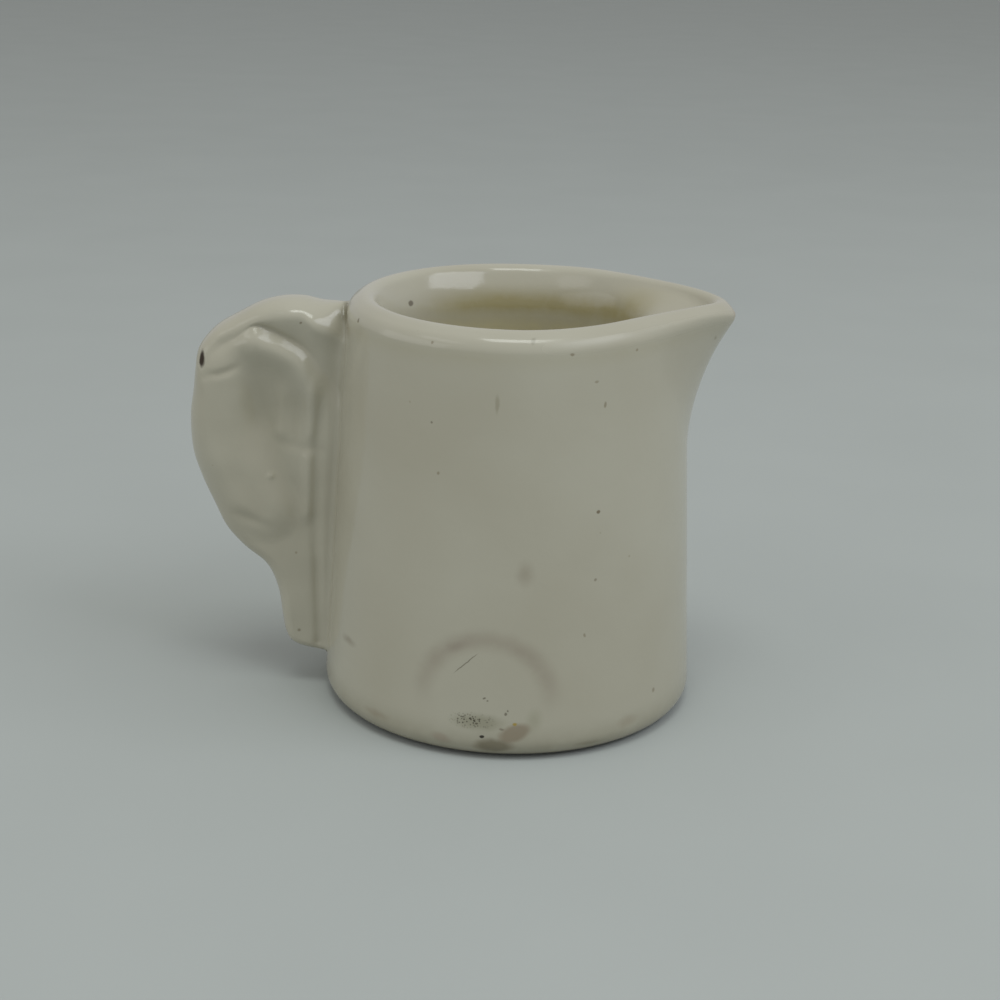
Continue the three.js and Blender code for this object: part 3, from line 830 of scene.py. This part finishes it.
def creamGlaze():
    # cream-white glaze fired over thick china: a glassy, slightly wavy coat that pools darker in hollows,
    # with iron specks, and stains and chips from long use; painted shade deepens the hollows, lies under the
    # rim, by the table and under the foot, and painted light brightens the lower inside
    material, tree = newMaterial("cream_glaze")
    coords = addNode(tree, "ShaderNodeTexCoord").outputs["Object"]
    drift = addNode(tree, "ShaderNodeTexNoise", {"Vector": coords, "Scale": 1 / (glaze["mottle"] * mm)})
    low, high = glaze["mottleRange"]
    share = addNode(tree, "ShaderNodeMapRange", {
        "Value": drift.outputs["Fac"], "From Min": low, "From Max": high,
    })
    colour = addNode(tree, "ShaderNodeMix", {
        0: share.outputs["Result"], 6: linearColour(glaze["colour"]), 7: linearColour(glaze["thin"]),
    }, data_type="RGBA").outputs[2]

    cloud = addNode(tree, "ShaderNodeTexNoise", {
        "Vector": coords, "Scale": 1 / (glaze["cloud"] * mm), "Detail": glaze["cloudDetail"],
    })
    (low, high), (least, most) = glaze["cloudRange"], glaze["cloudShare"]
    uneven = addNode(tree, "ShaderNodeMapRange", {
        "Value": cloud.outputs["Fac"], "From Min": low, "From Max": high, "To Min": least, "To Max": most,
    })
    # thick glaze with painted shade in hollows, painted light low inside, painted shade under the rim,
    # painted shade by the table with grime in the joint, dirt with painted contact shadow under the foot
    for layer in ("thickGlazeAndShade", "filmed", "shadeUnderRim", "shadedAndGrimed", "soiledAndShadowed"):
        amount = addNode(tree, "ShaderNodeAttribute", attribute_name=layer)
        share = addNode(tree, "ShaderNodeMath", {0: amount.outputs["Fac"], 1: uneven.outputs["Result"]},
                        operation="MULTIPLY", use_clamp=True)
        colour = addNode(tree, "ShaderNodeMix", {
            0: share.outputs[0], 6: colour, 7: linearColour(glaze[layer]),
        }, data_type="RGBA").outputs[2]

    cells = addNode(tree, "ShaderNodeTexVoronoi", {
        "Vector": coords, "Scale": 1 / (glaze["speckSpacing"] * mm),
    })
    reach = glaze["speckSize"] / glaze["speckSpacing"]
    inSpeck = addNode(tree, "ShaderNodeMapRange", {
        "Value": cells.outputs["Distance"], "From Min": reach, "From Max": reach / 2,
    })
    chosen = addNode(tree, "ShaderNodeSeparateColor", {"Color": cells.outputs["Color"]})
    faint = addNode(tree, "ShaderNodeMapRange", {
        "Value": chosen.outputs["Red"], "From Min": glaze["speckFrom"], "To Max": glaze["speckStrength"],
    })
    speck = addNode(tree, "ShaderNodeMath", {0: inSpeck.outputs["Result"], 1: faint.outputs["Result"]},
                    operation="MULTIPLY")
    colour = addNode(tree, "ShaderNodeMix", {
        0: speck.outputs[0], 6: colour, 7: linearColour(glaze["speckColour"]),
    }, data_type="RGBA").outputs[2]

    wander = addNode(tree, "ShaderNodeTexNoise", {"Vector": coords, "Scale": 1 / (glaze["wander"] * mm)})
    offset = addNode(tree, "ShaderNodeVectorMath", {0: wander.outputs["Color"], 1: (0.5, 0.5, 0.5)},
                     operation="SUBTRACT")
    ragged = addNode(tree, "ShaderNodeVectorMath", {
        0: offset.outputs[0], 1: [glaze["ragged"] * mm] * 3, 2: coords,
    }, operation="MULTIPLY_ADD").outputs[0]
    marks = []
    for angle, height, halfWidth, halfHeight, tilt, *look in wallMarks.values():
        radii = (glaze["markDepth"], halfWidth, halfHeight)
        marks.append((onWall(angle, height), angle, tilt, radii, *look))
    for place, radii, *look in placedMarks.values():
        marks.append((place, 0, 0, radii, *look))
    edge, softer = glaze["markEdge"]
    for place, turn, tilt, radii, hexText, strength, softness in marks:
        away = markShare(tree, ragged, place, turn, tilt, radii)
        share = addNode(tree, "ShaderNodeMapRange", {
            "Value": away, "From Min": edge + softer * softness,
            "From Max": glaze["markFull"] * (1 - softness), "To Max": strength,
        }, interpolation_type="SMOOTHSTEP")
        colour = addNode(tree, "ShaderNodeMix", {
            0: share.outputs["Result"], 6: colour, 7: linearColour(hexText),
        }, data_type="RGBA").outputs[2]

    place = onWall(pitted["angle"], pitted["height"])
    away = markShare(tree, ragged, place, pitted["angle"], 0, (glaze["markDepth"], *pitted["half"]))
    outer, inner = pitted["fade"]
    near = addNode(tree, "ShaderNodeMapRange", {"Value": away, "From Min": outer, "From Max": inner})
    cells = addNode(tree, "ShaderNodeTexVoronoi", {"Vector": coords, "Scale": 1 / (pitted["spacing"] * mm)})
    reach = pitted["size"] / pitted["spacing"]
    inPit = addNode(tree, "ShaderNodeMapRange", {
        "Value": cells.outputs["Distance"], "From Min": reach, "From Max": reach / 2,
        "To Max": pitted["strength"],
    })
    share = addNode(tree, "ShaderNodeMath", {0: near.outputs[0], 1: inPit.outputs[0]}, operation="MULTIPLY")
    colour = addNode(tree, "ShaderNodeMix", {
        0: share.outputs[0], 6: colour, 7: linearColour(pitted["colour"]),
    }, data_type="RGBA").outputs[2]

    ring = ringStain
    place = onWall(ring["angle"], ring["height"])
    away = markShare(tree, ragged, place, ring["angle"], 0, (ring["depth"], ring["radius"], ring["radius"]))
    off = addNode(tree, "ShaderNodeMath", {0: away, 1: 1.0}, operation="SUBTRACT")
    off = addNode(tree, "ShaderNodeMath", {0: off.outputs[0]}, operation="ABSOLUTE")
    band = addNode(tree, "ShaderNodeMapRange", {
        "Value": off.outputs[0], "From Min": ring["width"] / ring["radius"], "From Max": 0.0,
        "To Max": ring["strength"],
    }, interpolation_type="SMOOTHSTEP")
    up = addNode(tree, "ShaderNodeSeparateXYZ", {0: coords})
    low, high = ring["open"]
    closed = addNode(tree, "ShaderNodeMapRange", {
        "Value": up.outputs["Z"], "From Min": low * mm, "From Max": high * mm,
    }, interpolation_type="SMOOTHSTEP")
    band = addNode(tree, "ShaderNodeMath", {0: band.outputs["Result"], 1: closed.outputs["Result"]},
                   operation="MULTIPLY")
    band = addNode(tree, "ShaderNodeMath", {0: band.outputs[0], 1: uneven.outputs["Result"]},
                   operation="MULTIPLY", use_clamp=True)
    colour = addNode(tree, "ShaderNodeMix", {
        0: band.outputs[0], 6: colour, 7: linearColour(ring["colour"]),
    }, data_type="RGBA").outputs[2]

    wave = addNode(tree, "ShaderNodeTexNoise", {"Vector": coords, "Scale": 1 / (glaze["wave"] * mm)})
    ripple = addNode(tree, "ShaderNodeTexNoise", {"Vector": coords, "Scale": 1 / (glaze["ripple"] * mm)})
    relief = addNode(tree, "ShaderNodeMath", {
        0: ripple.outputs["Fac"], 1: glaze["rippleShare"], 2: wave.outputs["Fac"],
    }, operation="MULTIPLY_ADD")
    bump = addNode(tree, "ShaderNodeBump", {
        "Height": relief.outputs[0], "Strength": glaze["bumpStrength"], "Distance": glaze["bumpHeight"] * mm,
    })
    low, high = glaze["roughness"]
    gloss = addNode(tree, "ShaderNodeMapRange", {
        "Value": cloud.outputs["Fac"], "To Min": low, "To Max": high,
    })
    worn = addNode(tree, "ShaderNodeAttribute", attribute_name="worn")
    rough = addNode(tree, "ShaderNodeMath", {
        0: worn.outputs["Fac"], 1: glaze["wornRoughness"], 2: gloss.outputs["Result"],
    }, operation="MULTIPLY_ADD")
    surface = addNode(tree, "ShaderNodeBsdfPrincipled", {
        "Base Color": colour, "Roughness": rough.outputs[0], "IOR": glaze["ior"],
        "Normal": bump.outputs["Normal"],
    })
    addNode(tree, "ShaderNodeOutputMaterial", {"Surface": surface.outputs[0]})
    return material


def bareClay():
    # vitrified china left unglazed: matt, pale buff, with fine grit
    material, tree = newMaterial("unglazed_china")
    coords = addNode(tree, "ShaderNodeTexCoord").outputs["Object"]
    grit = addNode(tree, "ShaderNodeTexNoise", {"Vector": coords, "Scale": 1 / (clay["grit"] * mm)})
    colour = addNode(tree, "ShaderNodeMix", {
        0: grit.outputs["Fac"], 6: linearColour(clay["light"]), 7: linearColour(clay["dark"]),
    }, data_type="RGBA")
    bump = addNode(tree, "ShaderNodeBump", {
        "Height": grit.outputs["Fac"], "Strength": clay["bumpStrength"], "Distance": clay["bumpHeight"] * mm,
    })
    surface = addNode(tree, "ShaderNodeBsdfPrincipled", {
        "Base Color": colour.outputs[2], "Roughness": clay["roughness"], "IOR": clay["ior"],
        "Normal": bump.outputs["Normal"],
    })
    addNode(tree, "ShaderNodeOutputMaterial", {"Surface": surface.outputs[0]})
    return material


addCamera()
addFloor()
addLights()
cream = creamGlaze()
finishPiece("cup", makeCup(), cream, ["body_wall", "pouring_lip"])
handleNodes = [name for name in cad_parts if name.startswith("handle_")]
finishPiece("handle", makeHandle(), cream, handleNodes)
finishPiece("underside", makeUnderside(), bareClay(), ["base_bat"])

bpy.context.scene.view_settings.view_transform = "Standard"
